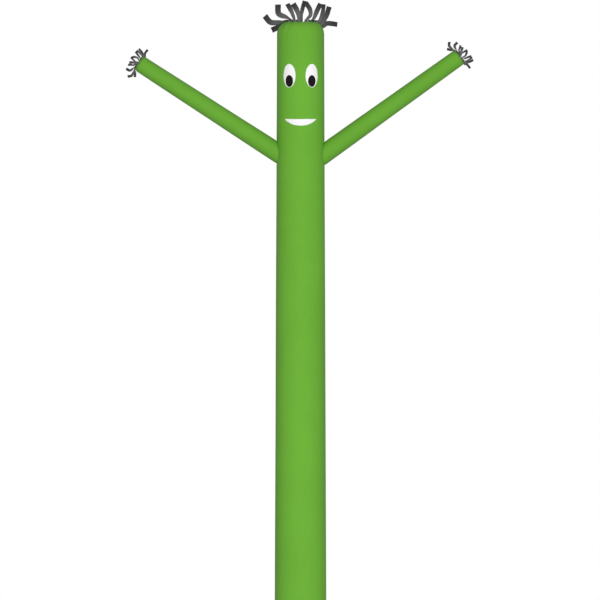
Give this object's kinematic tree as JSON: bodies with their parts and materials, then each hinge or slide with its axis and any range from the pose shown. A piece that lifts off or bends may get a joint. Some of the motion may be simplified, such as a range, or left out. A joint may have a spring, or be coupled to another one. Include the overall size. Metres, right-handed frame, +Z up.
{
  "type": "inflatable air dancer",
  "caption": "Tall tapered cloth tube on an open hemmed foot, with hollow sleeves rising at its sides, drawn-in vented ends, sewn face patches and streamer strips at the vents.",
  "frame": {"origin": "middle of the open foot, on the ground", "axes": "+Z up the tube; the face looks along -Y; the sleeves reach along -X and +X"},
  "size_m": [3.0458, 0.457, 6.0997],
  "materials": {
    "tube_cloth": "satin",
    "strip_cloth": "satin",
    "white_patch": "satin",
    "black_patch": "satin"
  },
  "bodies": {
    "root": {"body_tube": "tube_cloth", "arm_left": "tube_cloth", "arm_right": "tube_cloth", "hair_head": "strip_cloth", "hair_hand_left": "strip_cloth", "hair_hand_right": "strip_cloth", "eye_white_left": "white_patch", "eye_white_right": "white_patch", "mouth": "white_patch", "pupil_left": "black_patch", "pupil_right": "black_patch"}
  },
  "joints": []
}
